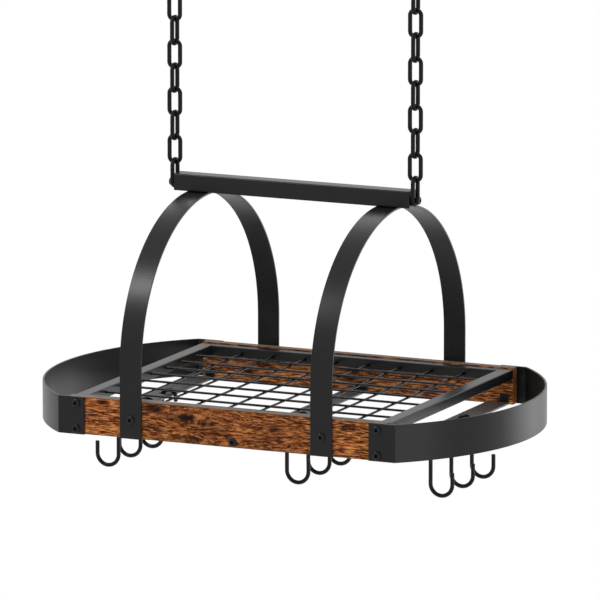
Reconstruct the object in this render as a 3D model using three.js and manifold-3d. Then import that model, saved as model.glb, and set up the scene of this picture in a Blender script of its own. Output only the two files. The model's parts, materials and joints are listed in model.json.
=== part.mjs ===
// A hanging pot rack: two chains from ceiling hooks carry a square bar, two arched straps drop from
// the bar to a pair of wooden side boards, and the boards, closed off by two bowed end bands, hold a
// wire-grid shelf and three crossbars with S-hooks. Millimetres, +Z up, +X along the boards and the
// bar, -Y to the front. The origin is on the ceiling, midway between the two ceiling hooks.
import * as THREE from "three";
import { mergeVertices } from "three/addons/utils/BufferGeometryUtils.js";
import Module from "manifold-3d";

const wasm = await Module();
wasm.setup();

// ---- Driving dimensions ----

const seatGap = 0.3; // left between pieces that touch on the real rack
const hangGap = 0.2; // left where one curved wire hangs on another

// Wooden side boards
const boardLength = 500;
const boardHeight = 55;
const boardThickness = 14;
const boardChamfer = 1;
const rackDepth = 468; // over the outer faces of the boards

// Arched straps
const archWidth = 34;
const archThickness = 3;
const archSpacing = 300; // between the centre lines of the two straps
const archRise = 323.3; // from the foot to the top of the crown
const archSpring = 100; // height at which the legs begin to curve

// Bowed end bands
const bandThickness = 3;
const bandTab = 26; // length of board that each end tab covers
const bandLead = 14.7; // from a board's end to where the bow begins
const bandBow = 105.3; // how far the bow stands out from there

// Top bar, a square tube with closed ends
const barLength = 374;
const barSize = 25;
const barWall = 2.5;

// Chains and the bolts they hold
const linkCount = 9;
const linkWire = 6.35; // along the sides
const linkCrownWire = 5.1; // thickness of the flattened crowns, along the chain
const linkInnerLength = 35;
const linkInnerWidth = 10.8;
const linkSidePlay = 0.5; // between the bar's end and the last link
const boltShank = 8;
const boltHeadDiameter = 12;
const boltHeadHeight = 4.2;
const boltHeadChamfer = 1;
const boltSocket = 4.8;
const boltSocketDepth = 2.1;
const boltInBar = 14; // length of shank inside the bar
const boltDrop = 1.5; // below the middle of the bar

// Ceiling hooks
const ceilingHookWire = 6;
const ceilingHookBowl = 9; // centre-line radius of the bowl
const ceilingHookDrop = 36; // from the ceiling to the centre line of the bowl's lowest point
const ceilingHookNeck = [
  [0, 2],
  [0.3, 1.65],
  [0.78, 0.85],
]; // from stem to bowl: out and up from the bowl's centre, in bowl radii
const ceilingHookBowlFrom = 162; // degrees
const ceilingHookBowlTo = 374; // degrees
const collarDiameter = 28;
const collarFace = 23.5; // diameter of the collar's lower edge
const collarThickness = 3;
const lagLength = 45;
const lagDiameter = 6;
const lagPoint = 12; // length of the tapered tip

// Shelf: a frame of rectangular tube round a welded grid of wires
const railRecess = 2; // from the top of the boards down to the top of the frame
const railHeight = 15;
const sideRailWidth = 15; // beside a board
const endRailWidth = 20;
const railWall = 1.5;
const gridWire = 3.5;
const gridPitchX = 51;
const gridPitchY = 50.5;
const longWireCount = 7; // run along X, in the upper layer
const crossWireCount = 8; // run along Y
const gridWeld = 0.5; // how far the two layers of wires sink into each other

// Crossbars
const crossbarWidth = 34;
const crossbarThickness = 3;
const crossbarTabWidth = 13;
const crossbarTabHeight = 16;
const hookHoleDiameter = 10;
const hooksPerBar = 3;
const hookSpacing = 74;

// S-hooks
const hookWire = 6;
const hookTopRadius = 11; // centre line
const hookBottomRadius = 17; // centre line
const hookShank = 59; // between the centres of the two bends
const hookTopTip = 6; // straight end below the upper bend
const hookBottomTip = 18; // straight end above the lower bend

// Dome-head screws
const screwHead = 13;
const screwHeadHeight = 3.4;
const screwShank = 4;
const screwRimHeight = 1; // straight part of the head's edge
const screwShoulder = 10.2; // diameter where the dome flattens
const screwShoulderHeight = 2.65;
const screwSocket = 4;
const screwSocketDepth = 1.4;
const woodScrewBite = 11; // depth of shank in a board
const threadProud = 1.5; // shank that shows past the last plate a screw goes through
const screwInset = 13; // from the ends of a board to the screws of the bands
const lowScrewHeight = 8.2;

// Length of a drill, in thicknesses of the plate it goes through
const drillReach = 4;

// Fineness of the curved surfaces
const wireSides = 6;
const roundSides = 12;
const screwSides = 8;
const linkBendSteps = 6;
const hookBendSteps = 8;
const archSteps = 32;
const bandSteps = 28;

// ---- Sizes worked out from them ----

const halfDepth = rackDepth / 2;
const boardInnerY = halfDepth - boardThickness;
const shelfLength = boardLength;
const shelfDepth = 2 * (boardInnerY - seatGap);
const archFaceY = halfDepth + seatGap; // inner face of a leg
const archOuterY = archFaceY + archThickness;
const bandFaceY = halfDepth + seatGap; // inner face of a tab
const bandOuterY = bandFaceY + bandThickness;
const bandTabEnd = boardLength / 2 - bandTab;
const bandReach = boardLength / 2 + bandLead + bandBow; // from the middle of the rack
const bandRadius = (bandOuterY ** 2 + bandBow ** 2) / (2 * bandBow);
const bandCentreX = bandReach - bandRadius;

const barBottom = archRise + seatGap;
const barMiddle = barBottom + barSize / 2;
const boltHeight = barMiddle - boltDrop;
const chainX = barLength / 2 + linkSidePlay + linkWire / 2;

const linkPitch = linkInnerLength - hangGap;
const linkCrown = (linkInnerLength + linkCrownWire) / 2; // link centre to the centre line of a crown
const ceilingHookReach = (ceilingHookWire + linkCrownWire) / 2 + hangGap;
const firstLinkZ = -ceilingHookDrop + ceilingHookReach - linkCrown;
const lastLinkZ = firstLinkZ - (linkCount - 1) * linkPitch;
const boltZ = lastLinkZ - linkInnerLength / 2 + boltShank / 2 + hangGap;
const rackZ = boltZ - boltHeight; // underside of the boards, from the ceiling

const railTop = boardHeight - railRecess;
const railMiddle = railTop - railHeight / 2;
const highScrewHeight = railMiddle;
const archScrewHeight = boardHeight / 2;
const screwX = boardLength / 2 - screwInset;
const tabCentre = (crossbarWidth - crossbarTabWidth) / 2; // tab centre from the crossbar's centre
const crossbarX = { left: -screwX - tabCentre, middle: 0, right: screwX - tabCentre };

// An S-hook's upper bend straddles the strip of crossbar between a hook hole and the bar's edge, and
// rests on the strip's two upper edges.
const landWidth = (crossbarWidth - hookHoleDiameter) / 2;
const landCentre = (crossbarWidth + hookHoleDiameter) / 4; // from the crossbar's centre
const hookSeat = Math.sqrt((hookTopRadius - hookWire / 2) ** 2 - (landWidth / 2) ** 2) - seatGap;
const hookBendZ = crossbarThickness - hookSeat;

// ---- Materials ----

const blackMetal = { color: 0x26262a, roughness: 0.48, metalness: 0.55 };
const rusticWood = { color: 0x9a5c32, roughness: 0.72, metalness: 0 };

// ---- Solids ----

const X = new THREE.Vector3(1, 0, 0);
const Y = new THREE.Vector3(0, 1, 0);
const Z = new THREE.Vector3(0, 0, 1);

function solid(geometry) {
  const bare = geometry.clone();
  bare.deleteAttribute("normal");
  bare.deleteAttribute("uv");
  const merged = mergeVertices(bare, 1e-3);
  const vertProperties = merged.attributes.position.array;
  const triVerts = new Uint32Array(merged.index.array);
  return new wasm.Manifold(new wasm.Mesh({ numProp: 3, vertProperties, triVerts }));
}

function geometryOf(manifold) {
  const { vertProperties, triVerts, numProp, numVert } = manifold.getMesh();
  const positions = new Float32Array(numVert * 3);
  for (let i = 0; i < numVert; i++) {
    positions.set(vertProperties.subarray(i * numProp, i * numProp + 3), i * 3);
  }
  const geometry = new THREE.BufferGeometry();
  geometry.setAttribute("position", new THREE.BufferAttribute(positions, 3));
  geometry.setIndex(new THREE.BufferAttribute(new Uint32Array(triVerts), 1));
  geometry.computeVertexNormals();
  return geometry;
}

function join(first, ...rest) {
  return geometryOf(rest.reduce((whole, piece) => whole.add(solid(piece)), solid(first)));
}

function cut(first, ...tools) {
  return geometryOf(tools.reduce((whole, tool) => whole.subtract(solid(tool)), solid(first)));
}

function box(length, depth, height, x, y, z) {
  return new THREE.BoxGeometry(length, depth, height).translate(x, y, z);
}

// A drill along an axis, centred on a point.
function drill(diameter, length, axis, x, y, z) {
  const turn = new THREE.Quaternion().setFromUnitVectors(Y, axis);
  return new THREE.CylinderGeometry(diameter / 2, diameter / 2, length, roundSides)
    .applyQuaternion(turn)
    .translate(x, y, z);
}

// A wire along a path of [x, z] points in the XZ plane, open with flat ends or closed on itself. Its
// thickness along Z is the given share of its diameter.
function wireAlong(path, diameter, closed, shareZ = 1) {
  const radius = diameter / 2;
  const positions = [];
  const faces = [];
  const count = path.length;
  path.forEach(([x, z], i) => {
    const before = path[closed ? (i + count - 1) % count : Math.max(i - 1, 0)];
    const after = path[closed ? (i + 1) % count : Math.min(i + 1, count - 1)];
    const run = new THREE.Vector2(after[0] - before[0], after[1] - before[1]).normalize();
    for (let j = 0; j < wireSides; j++) {
      const angle = (2 * Math.PI * j) / wireSides;
      const across = radius * Math.cos(angle);
      positions.push(x + across * run.y, radius * Math.sin(angle), z - shareZ * across * run.x);
    }
  });
  const rings = closed ? count : count - 1;
  for (let i = 0; i < rings; i++) {
    for (let j = 0; j < wireSides; j++) {
      const a = i * wireSides + j;
      const b = i * wireSides + ((j + 1) % wireSides);
      const c = ((i + 1) % count) * wireSides + ((j + 1) % wireSides);
      const d = ((i + 1) % count) * wireSides + j;
      faces.push(a, b, c, a, c, d);
    }
  }
  if (!closed) {
    const last = (count - 1) * wireSides;
    for (let j = 1; j < wireSides - 1; j++) {
      faces.push(0, j + 1, j, last, last + j, last + j + 1);
    }
  }
  const geometry = new THREE.BufferGeometry();
  geometry.setAttribute("position", new THREE.Float32BufferAttribute(positions, 3));
  geometry.setIndex(faces);
  geometry.computeVertexNormals();
  return geometry;
}

// Points of an arc in the XZ plane; angles in radians from +X towards +Z.
function arc(x, z, radius, from, to, steps) {
  return Array.from({ length: steps + 1 }, (_, i) => {
    const angle = from + ((to - from) * i) / steps;
    return [x + radius * Math.cos(angle), z + radius * Math.sin(angle)];
  });
}

function mesh(name, geometry, finish) {
  const made = new THREE.Mesh(geometry, new THREE.MeshStandardMaterial(finish));
  made.name = name;
  return made;
}

// A dome-head screw whose head rests on the plane through the origin and looks along +Y.
function screw(name, length) {
  const shank = screwShank / 2;
  const head = screwHead / 2;
  const socket = screwSocket / 2;
  const profile = [
    [0, -length],
    [shank, -length],
    [shank, 0],
    [head, 0],
    [head, screwRimHeight],
    [screwShoulder / 2, screwShoulderHeight],
    [socket, screwHeadHeight],
    [socket, screwHeadHeight - screwSocketDepth],
    [0, screwHeadHeight - screwSocketDepth],
  ].map(([r, y]) => new THREE.Vector2(r, y));
  return mesh(name, new THREE.LatheGeometry(profile, screwSides), blackMetal);
}

// ---- Ceiling hooks and chains ----

const sides = [
  ["left", -1],
  ["right", 1],
];

function ceilingHook(name) {
  const wire = ceilingHookWire;
  const bowl = ceilingHookBowl;
  const bowlZ = -ceilingHookDrop + bowl;
  const neck = ceilingHookNeck.map(([out, up]) => [-bowl * out, bowlZ + bowl * up]);
  const stem = [[0, -collarThickness / 2], ...neck];
  const from = THREE.MathUtils.degToRad(ceilingHookBowlFrom);
  const to = THREE.MathUtils.degToRad(ceilingHookBowlTo);
  const bend = arc(0, bowlZ, bowl, from, to, 2 * hookBendSteps);
  const collar = new THREE.CylinderGeometry(
    collarDiameter / 2,
    collarFace / 2,
    collarThickness,
    2 * roundSides,
  );
  const lag = new THREE.LatheGeometry(
    [
      [0, -collarThickness / 2],
      [lagDiameter / 2, -collarThickness / 2],
      [lagDiameter / 2, lagLength - lagPoint],
      [0, lagLength],
    ].map(([r, y]) => new THREE.Vector2(r, y)),
    roundSides,
  );
  const geometry = join(
    wireAlong([...stem, ...bend], wire, false),
    collar.rotateX(Math.PI / 2).translate(0, 0, -collarThickness / 2),
    lag.rotateX(Math.PI / 2),
  );
  return mesh(name, geometry, blackMetal);
}

function chainLink(name) {
  const bend = (linkInnerWidth + linkWire) / 2;
  const bendZ = linkCrown - bend;
  const path = [
    ...arc(0, bendZ, bend, 0, Math.PI, linkBendSteps),
    ...arc(0, -bendZ, bend, Math.PI, 2 * Math.PI, linkBendSteps),
  ];
  return mesh(name, wireAlong(path, linkWire, true, linkCrownWire / linkWire), blackMetal);
}

const potRack = new THREE.Group();

for (const [side, sign] of sides) {
  const hanger = new THREE.Group();
  hanger.position.x = sign * chainX;
  const hook = ceilingHook(`ceiling_hook_${side}`);
  hook.rotation.z = sign > 0 ? 0 : Math.PI;
  hanger.add(hook);
  for (let i = 0; i < linkCount; i++) {
    const link = chainLink(`chain_${side}_link_${i + 1}`);
    const fromBolt = linkCount - 1 - i;
    link.rotation.z = fromBolt % 2 === 0 ? Math.PI / 2 : 0;
    link.position.z = firstLinkZ - i * linkPitch;
    hanger.add(link);
  }
  potRack.add(hanger);
}

// ---- The rack, in a group with its origin at the underside of the boards ----

const rack = new THREE.Group();
rack.position.z = rackZ;
potRack.add(rack);

// The bar, with a hole in each end wall for a bolt and two holes underneath for the crown screws.
const barHoles = [];
for (const [, sign] of sides) {
  const bore = boltShank + 2 * seatGap;
  barHoles.push(drill(bore, drillReach * barWall, X, (sign * barLength) / 2, 0, boltHeight));
  const underHole = screwShank + 2 * seatGap;
  barHoles.push(drill(underHole, drillReach * barWall, Z, (sign * archSpacing) / 2, 0, barBottom));
}
const barCore = barSize - 2 * barWall;
const barShell = cut(
  box(barLength, barSize, barSize, 0, 0, barMiddle),
  box(barLength - 2 * barWall, barCore, barCore, 0, 0, barMiddle),
  ...barHoles,
);
rack.add(mesh("top_bar", barShell, blackMetal));

// A bolt along X through the last link, its head outside the link.
function linkBolt(name) {
  const shank = boltShank / 2;
  const head = boltHeadDiameter / 2;
  const socket = boltSocket / 2;
  const headFrom = linkSidePlay + linkWire + seatGap;
  const headTo = headFrom + boltHeadHeight;
  const profile = [
    [0, -boltInBar],
    [shank, -boltInBar],
    [shank, headFrom],
    [head, headFrom],
    [head, headTo - boltHeadChamfer],
    [head - boltHeadChamfer, headTo],
    [socket, headTo],
    [socket, headTo - boltSocketDepth],
    [0, headTo - boltSocketDepth],
  ].map(([r, y]) => new THREE.Vector2(r, y));
  return mesh(name, new THREE.LatheGeometry(profile, roundSides), blackMetal);
}

for (const [side, sign] of sides) {
  const bolt = linkBolt(`link_bolt_${side}`);
  bolt.rotation.z = (-sign * Math.PI) / 2;
  bolt.position.set((sign * barLength) / 2, 0, boltHeight);
  rack.add(bolt);
}

// An arched strap: two straight legs on the boards' outer faces, joined by half an ellipse.
function archGeometry(x) {
  const outline = new THREE.Shape();
  const rise = archRise - archSpring;
  outline.moveTo(-archOuterY, 0);
  outline.lineTo(-archOuterY, archSpring);
  outline.absellipse(0, archSpring, archOuterY, rise, Math.PI, 0, true);
  outline.lineTo(archOuterY, 0);
  outline.lineTo(archFaceY, 0);
  outline.lineTo(archFaceY, archSpring);
  outline.absellipse(0, archSpring, archFaceY, rise - archThickness, 0, Math.PI, false);
  outline.lineTo(-archFaceY, 0);
  const strap = new THREE.ExtrudeGeometry(outline, {
    depth: archWidth,
    bevelEnabled: false,
    curveSegments: archSteps / 2,
  });
  strap.translate(0, 0, -archWidth / 2);
  strap.applyMatrix4(new THREE.Matrix4().makeBasis(Y, Z, X));
  const hole = screwShank + 2 * seatGap;
  const holes = [-1, 1].map((front) =>
    drill(hole, drillReach * archThickness, Y, 0, front * archOuterY, archScrewHeight),
  );
  holes.push(drill(hole, drillReach * archThickness, Z, 0, 0, archRise));
  return cut(strap, ...holes).translate(x, 0, 0);
}

for (const [side, sign] of sides) {
  const x = (sign * archSpacing) / 2;
  rack.add(mesh(`arch_${side}`, archGeometry(x), blackMetal));

  const crownScrew = screw(
    `arch_crown_screw_${side}`,
    archThickness + 2 * seatGap + barWall + threadProud,
  );
  crownScrew.rotation.x = -Math.PI / 2;
  crownScrew.position.set(x, 0, archRise - archThickness - seatGap);
  rack.add(crownScrew);
}

// The side boards, with a through hole for each screw that goes on into a plate and a blind one for
// each arch.
const ends = [
  ["front", -1],
  ["back", 1],
];

function boardGeometry(faceSign) {
  const half = { y: boardThickness / 2, z: boardHeight / 2 };
  const c = boardChamfer;
  const section = new THREE.Shape([
    new THREE.Vector2(-half.y + c, -half.z),
    new THREE.Vector2(half.y - c, -half.z),
    new THREE.Vector2(half.y, -half.z + c),
    new THREE.Vector2(half.y, half.z - c),
    new THREE.Vector2(half.y - c, half.z),
    new THREE.Vector2(-half.y + c, half.z),
    new THREE.Vector2(-half.y, half.z - c),
    new THREE.Vector2(-half.y, -half.z + c),
  ]);
  const board = new THREE.ExtrudeGeometry(section, { depth: boardLength, bevelEnabled: false });
  board.translate(0, 0, -boardLength / 2);
  board.applyMatrix4(new THREE.Matrix4().makeBasis(Y, Z, X));
  board.translate(0, faceSign * (halfDepth - half.y), half.z);
  const hole = screwShank + 2 * seatGap;
  const through = [
    [-screwX, highScrewHeight],
    [screwX, highScrewHeight],
    [-screwX, lowScrewHeight],
    [screwX, lowScrewHeight],
    [tabCentre, lowScrewHeight],
  ].map(([x, z]) => drill(hole, drillReach * boardThickness, Y, x, faceSign * halfDepth, z));
  const blind = sides.map(([, sign]) =>
    drill(
      hole,
      2 * (woodScrewBite + seatGap),
      Y,
      (sign * archSpacing) / 2,
      faceSign * halfDepth,
      archScrewHeight,
    ),
  );
  return cut(board, ...through, ...blind);
}

for (const [end, faceSign] of ends) {
  rack.add(mesh(`side_board_${end}`, boardGeometry(faceSign), rusticWood));
}

// A bowed end band: an arc between two tabs that lie on the boards' outer faces.
function bandGeometry() {
  const inner = bandRadius - bandThickness;
  const outerAngle = Math.asin(bandOuterY / bandRadius);
  const innerAngle = Math.asin(bandFaceY / inner);
  const outline = new THREE.Shape();
  outline.moveTo(bandTabEnd, -bandOuterY);
  outline.absarc(bandCentreX, 0, bandRadius, -outerAngle, outerAngle, false);
  outline.lineTo(bandTabEnd, bandOuterY);
  outline.lineTo(bandTabEnd, bandFaceY);
  outline.absarc(bandCentreX, 0, inner, innerAngle, -innerAngle, true);
  outline.lineTo(bandTabEnd, -bandFaceY);
  const strip = new THREE.ExtrudeGeometry(outline, {
    depth: boardHeight,
    bevelEnabled: false,
    curveSegments: bandSteps / 2,
  });
  const hole = screwShank + 2 * seatGap;
  const holes = [];
  for (const [, faceSign] of ends) {
    for (const z of [lowScrewHeight, highScrewHeight]) {
      holes.push(drill(hole, drillReach * bandThickness, Y, screwX, faceSign * bandOuterY, z));
    }
  }
  return cut(strip, ...holes);
}

for (const [side, sign] of sides) {
  const band = mesh(`end_band_${side}`, bandGeometry(), blackMetal);
  band.rotation.z = sign > 0 ? 0 : Math.PI;
  rack.add(band);
}

// ---- Shelf ----

function rectangle(length, depth) {
  return [
    new THREE.Vector2(-length / 2, -depth / 2),
    new THREE.Vector2(length / 2, -depth / 2),
    new THREE.Vector2(length / 2, depth / 2),
    new THREE.Vector2(-length / 2, depth / 2),
  ];
}

// The four rails as one ring, drawn in by an inset on every face.
function railRing(inset) {
  const outline = new THREE.Shape(rectangle(shelfLength - 2 * inset, shelfDepth - 2 * inset));
  const openLength = shelfLength - 2 * (endRailWidth - inset);
  const openDepth = shelfDepth - 2 * (sideRailWidth - inset);
  outline.holes.push(new THREE.Path(rectangle(openLength, openDepth)));
  const height = railHeight - 2 * inset;
  const ring = new THREE.ExtrudeGeometry(outline, { depth: height, bevelEnabled: false });
  return ring.translate(0, 0, railMiddle - height / 2);
}

const railHoles = [];
for (const [, sign] of sides) {
  for (const [, faceSign] of ends) {
    const hole = screwShank + 2 * seatGap;
    const y = (faceSign * shelfDepth) / 2;
    railHoles.push(drill(hole, drillReach * railWall, Y, sign * screwX, y, highScrewHeight));
  }
}
const shelfFrame = cut(railRing(0), railRing(railWall), ...railHoles);
rack.add(mesh("shelf_frame", shelfFrame, blackMetal));

function gridGeometry() {
  const long = shelfLength - 2 * (endRailWidth + seatGap);
  const cross = shelfDepth - 2 * (sideRailWidth + seatGap);
  const layer = (gridWire - gridWeld) / 2; // from the middle of the grid to each layer's centre line
  const wires = [];
  for (let i = 0; i < longWireCount; i++) {
    const y = (i - (longWireCount - 1) / 2) * gridPitchY;
    const path = [
      [-long / 2, railMiddle + layer],
      [long / 2, railMiddle + layer],
    ];
    wires.push(wireAlong(path, gridWire, false).translate(0, y, 0));
  }
  for (let i = 0; i < crossWireCount; i++) {
    const x = (i - (crossWireCount - 1) / 2) * gridPitchX;
    const path = [
      [-cross / 2, railMiddle - layer],
      [cross / 2, railMiddle - layer],
    ];
    wires.push(wireAlong(path, gridWire, false).rotateZ(Math.PI / 2).translate(x, 0, 0));
  }
  return join(...wires);
}
rack.add(mesh("shelf_grid", gridGeometry(), blackMetal));

// ---- Crossbars and S-hooks ----

function crossbarGeometry() {
  const length = 2 * (boardInnerY - seatGap);
  const outline = new THREE.Shape(rectangle(crossbarWidth, length));
  const strip = new THREE.ExtrudeGeometry(outline, {
    depth: crossbarThickness,
    bevelEnabled: false,
  });
  const tabY = (length - crossbarThickness) / 2;
  const tabs = ends.map(([, faceSign]) =>
    box(
      crossbarTabWidth,
      crossbarThickness,
      crossbarTabHeight,
      tabCentre,
      faceSign * tabY,
      crossbarTabHeight / 2,
    ),
  );
  const holes = [];
  for (let i = 0; i < hooksPerBar; i++) {
    holes.push(drill(hookHoleDiameter, drillReach * crossbarThickness, Z, 0, hookY(i), 0));
  }
  for (const [, faceSign] of ends) {
    const hole = screwShank + 2 * seatGap;
    const y = faceSign * tabY;
    holes.push(drill(hole, drillReach * crossbarThickness, Y, tabCentre, y, lowScrewHeight));
  }
  return cut(join(strip, ...tabs), ...holes);
}

function hookY(i) {
  return (i - (hooksPerBar - 1) / 2) * hookSpacing;
}

// An S-hook in the XZ plane about the centre of its upper bend, its shank on the +X side.
function hookGeometry() {
  const top = hookTopRadius;
  const bottom = hookBottomRadius;
  const path = [
    [-top, -hookTopTip],
    ...arc(0, 0, top, Math.PI, 0, hookBendSteps),
    ...arc(top + bottom, -hookShank, bottom, Math.PI, 2 * Math.PI, hookBendSteps),
    [top + 2 * bottom, -hookShank + hookBottomTip],
  ];
  return wireAlong(path, hookWire, false);
}

for (const [bar, x] of Object.entries(crossbarX)) {
  const crossbar = mesh(`crossbar_${bar}`, crossbarGeometry(), blackMetal);
  crossbar.position.x = x;
  rack.add(crossbar);
  for (let i = 0; i < hooksPerBar; i++) {
    const hook = mesh(`pot_hook_${bar}_${i + 1}`, hookGeometry(), blackMetal);
    hook.rotation.z = bar === "left" ? Math.PI : 0;
    hook.position.set(x + landCentre, hookY(i), hookBendZ);
    rack.add(hook);
  }
}

// ---- Screws through the boards ----

function addBoardScrew(name, faceSign, x, z, plate, length) {
  const made = screw(name, length);
  made.rotation.z = faceSign > 0 ? 0 : Math.PI;
  made.position.set(x, faceSign * (halfDepth + plate + seatGap), z);
  rack.add(made);
}

const bandStack = bandThickness + seatGap; // a tab and its gap to the board
const throughBoard = seatGap + boardThickness + seatGap + threadProud;

for (const [end, faceSign] of ends) {
  for (const [side, sign] of sides) {
    const x = sign * screwX;
    const upper = bandStack + throughBoard + railWall;
    const lower = bandStack + throughBoard + crossbarThickness;
    const name = `band_screw_${side}_${end}`;
    addBoardScrew(`${name}_upper`, faceSign, x, highScrewHeight, bandStack, upper);
    addBoardScrew(`${name}_lower`, faceSign, x, lowScrewHeight, bandStack, lower);
    addBoardScrew(
      `arch_foot_screw_${side}_${end}`,
      faceSign,
      (sign * archSpacing) / 2,
      archScrewHeight,
      archThickness + seatGap,
      archThickness + 2 * seatGap + woodScrewBite,
    );
  }
  addBoardScrew(
    `crossbar_screw_${end}`,
    faceSign,
    tabCentre,
    lowScrewHeight,
    0,
    throughBoard + crossbarThickness,
  );
}

export default potRack;
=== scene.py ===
# The looks of the hanging pot rack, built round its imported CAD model. Metres, in the row frame: the
# origin is on the ceiling midway between the two hooks, +Z up, +X along the bar, -Y to the front.
import json
import math

import bmesh
import bpy
from mathutils import Matrix, Vector, noise


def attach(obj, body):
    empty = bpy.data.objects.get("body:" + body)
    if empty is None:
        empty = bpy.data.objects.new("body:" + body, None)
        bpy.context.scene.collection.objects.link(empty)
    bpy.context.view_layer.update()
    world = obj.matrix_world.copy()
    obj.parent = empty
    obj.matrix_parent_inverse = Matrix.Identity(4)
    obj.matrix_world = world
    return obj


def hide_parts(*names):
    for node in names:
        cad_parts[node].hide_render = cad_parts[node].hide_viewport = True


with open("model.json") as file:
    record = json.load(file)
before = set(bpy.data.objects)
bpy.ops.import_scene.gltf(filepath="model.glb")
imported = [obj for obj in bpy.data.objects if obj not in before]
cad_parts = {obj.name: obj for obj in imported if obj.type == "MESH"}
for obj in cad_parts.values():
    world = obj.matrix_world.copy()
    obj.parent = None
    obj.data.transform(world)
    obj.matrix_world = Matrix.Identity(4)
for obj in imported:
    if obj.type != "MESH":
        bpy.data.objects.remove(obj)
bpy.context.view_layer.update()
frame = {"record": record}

MM = 0.001
X, Y, Z = Vector((1, 0, 0)), Vector((0, 1, 0)), Vector((0, 0, 1))
BODY_OF = {n: b for b, ns in frame["record"]["behaviour"]["bodies"].items() for n in ns}
SIDES = (("left", -1), ("right", 1))
ENDS = (("front", -1), ("back", 1))

# ---- Sizes of the CAD model, in millimetres ----

SEAT_GAP, HANG_GAP = 0.3, 0.2
BOARD_LENGTH, BOARD_HEIGHT, BOARD_THICKNESS, RACK_DEPTH = 500, 55, 14, 468
ARCH_WIDTH, ARCH_THICKNESS, ARCH_SPACING, ARCH_RISE, ARCH_SPRING = 34, 3, 300, 323.3, 100
BAND_THICKNESS, BAND_TAB, BAND_LEAD, BAND_BOW = 3, 26, 14.7, 105.3
BAR_LENGTH, BAR_SIZE = 374, 25
LINK_COUNT, LINK_WIRE, LINK_CROWN_WIRE, LINK_INNER_LENGTH, LINK_INNER_WIDTH = 9, 6.35, 5.1, 35, 10.8
LINK_SIDE_PLAY, BOLT_SHANK, BOLT_HEAD, BOLT_HEAD_HEIGHT = 0.5, 8, 12, 4.2
BOLT_IN_BAR, BOLT_DROP = 14, 1.5
HOOK_WIRE_UP, HOOK_BOWL, HOOK_DROP = 6, 9, 36
COLLAR, COLLAR_FACE, COLLAR_THICKNESS, LAG_LENGTH, LAG, LAG_POINT = 28, 23.5, 3, 45, 6, 12
RAIL_RECESS, RAIL_HEIGHT, SIDE_RAIL, END_RAIL = 2, 15, 15, 20
GRID_WIRE, GRID_PITCH_X, GRID_PITCH_Y, LONG_WIRES, CROSS_WIRES, GRID_WELD = 3.5, 51, 50.5, 7, 8, 0.5
CROSSBAR_WIDTH, CROSSBAR_THICKNESS, TAB_WIDTH, TAB_HEIGHT = 34, 3, 13, 16
HOOK_HOLE, HOOKS_PER_BAR, HOOK_SPACING = 10, 3, 74
POT_WIRE, POT_TOP, POT_BOTTOM, POT_SHANK, POT_TOP_TIP, POT_BOTTOM_TIP = 6, 11, 17, 59, 6, 18
SCREW_HEAD, SCREW_HEAD_HEIGHT, SCREW_SHANK, SCREW_SOCKET, SOCKET_DEPTH = 13, 3.4, 4, 4, 1.4
SCREW_BITE, THREAD_PROUD, SCREW_INSET, LOW_SCREW, RAIL_WALL, BAR_WALL = 11, 1.5, 13, 8.2, 1.5, 2.5

# Fine forms that the CAD model leaves out
ARCH_EDGE, BAND_EDGE, CROSSBAR_EDGE, BOARD_EDGE = 0.55, 0.6, 0.45, 1.1  # radii of the edges
BAND_FILLET, TAB_BEND = 1.8, 3.6  # inner radius of the bands' corners, outer radius of the tabs' bends
LAG_PITCH, BOLT_PITCH, SCREW_PITCH = 2.2, 1.2, 0.8
BOLT_SOCKET, BOLT_SOCKET_DEPTH = 4.8, 2.3
BUTT_WELD_DEPTH, BUTT_WELD_SHARPNESS = 0.035, 65
BOARD_STATIONS, WORN_THICKNESS, WORN_HEIGHT = 200, 1.8, 1.9  # the last two: how far wear reaches in
END_BEVEL, END_SHARE_Y, END_SHARE_Z = 0.5, 0.93, 0.985
DOME_STEPS, DOME_TIP = 4, 0.06  # rounded ends of wires: rings, and the share of the radius at the tip
SHARP_ANGLE = 38  # in degrees; flatter edges are shaded smooth

HALF_DEPTH = RACK_DEPTH / 2
BOARD_INNER = HALF_DEPTH - BOARD_THICKNESS
BAR_MIDDLE = ARCH_RISE + SEAT_GAP + BAR_SIZE / 2
BOLT_HEIGHT = BAR_MIDDLE - BOLT_DROP
CHAIN_X = BAR_LENGTH / 2 + LINK_SIDE_PLAY + LINK_WIRE / 2
LINK_PITCH = LINK_INNER_LENGTH - HANG_GAP
LINK_CROWN = (LINK_INNER_LENGTH + LINK_CROWN_WIRE) / 2
FIRST_LINK_Z = -HOOK_DROP + (HOOK_WIRE_UP + LINK_CROWN_WIRE) / 2 + HANG_GAP - LINK_CROWN
BOLT_Z = FIRST_LINK_Z - (LINK_COUNT - 1) * LINK_PITCH - LINK_INNER_LENGTH / 2 + BOLT_SHANK / 2 + HANG_GAP
RACK_Z = BOLT_Z - BOLT_HEIGHT
RAIL_MIDDLE = BOARD_HEIGHT - RAIL_RECESS - RAIL_HEIGHT / 2
SCREW_X = BOARD_LENGTH / 2 - SCREW_INSET
TAB_CENTRE = (CROSSBAR_WIDTH - TAB_WIDTH) / 2
CROSSBAR_X = {"left": -SCREW_X - TAB_CENTRE, "middle": 0, "right": SCREW_X - TAB_CENTRE}
LAND_WIDTH = (CROSSBAR_WIDTH - HOOK_HOLE) / 2
LAND_CENTRE = (CROSSBAR_WIDTH + HOOK_HOLE) / 4
HOOK_SEAT = math.sqrt((POT_TOP - POT_WIRE / 2) ** 2 - (LAND_WIDTH / 2) ** 2) - SEAT_GAP
HOOK_BEND_Z = CROSSBAR_THICKNESS - HOOK_SEAT

# ---- Mesh helpers; every point is in millimetres until finish_piece ----


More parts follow.
